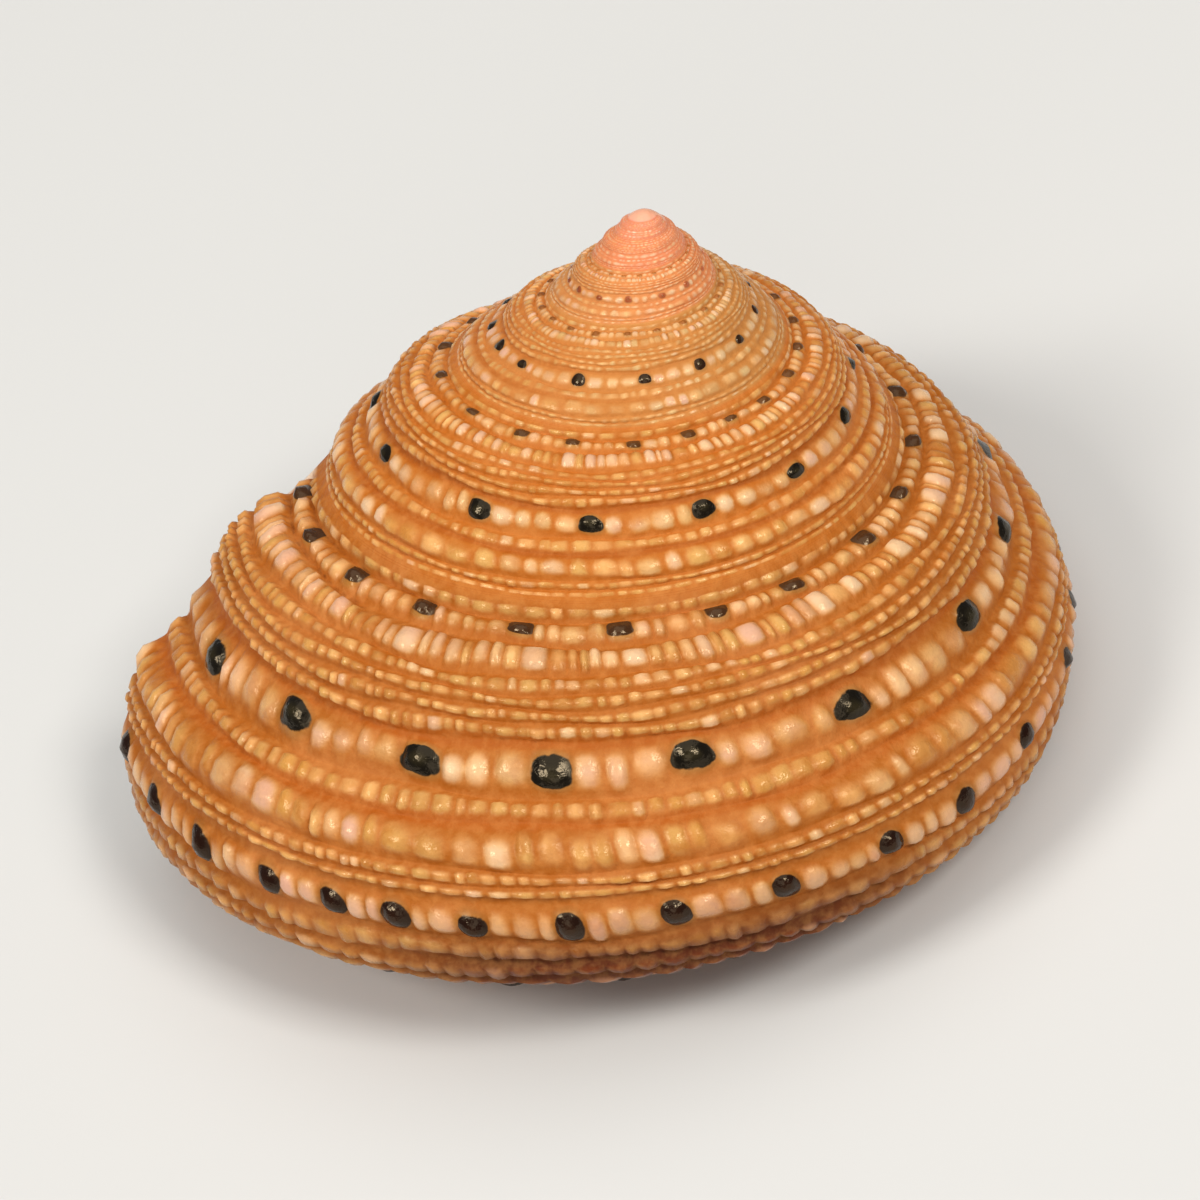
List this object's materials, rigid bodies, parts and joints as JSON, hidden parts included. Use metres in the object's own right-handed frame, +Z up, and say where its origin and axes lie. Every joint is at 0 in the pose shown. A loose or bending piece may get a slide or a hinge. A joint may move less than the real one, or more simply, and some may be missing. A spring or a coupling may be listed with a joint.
{
  "type": "strawberry top shell",
  "caption": "Low coiled sea shell with spiral rows of beads, a round mouth underneath and a toothed hollow at the axis; it lies on its base.",
  "frame": {"origin": "centre of the shell's bounding box, on the surface it rests on", "axes": "+Z up from that surface; -Y is the back of the shell, which the picture shows; +Y is the side where the mouth opens; +X is across"},
  "size_m": [0.0206, 0.0182, 0.0119],
  "materials": {
    "shell": "glossy beaded shell, orange with black and white beads"
  },
  "bodies": {
    "root": {"shell": "shell"}
  },
  "joints": []
}
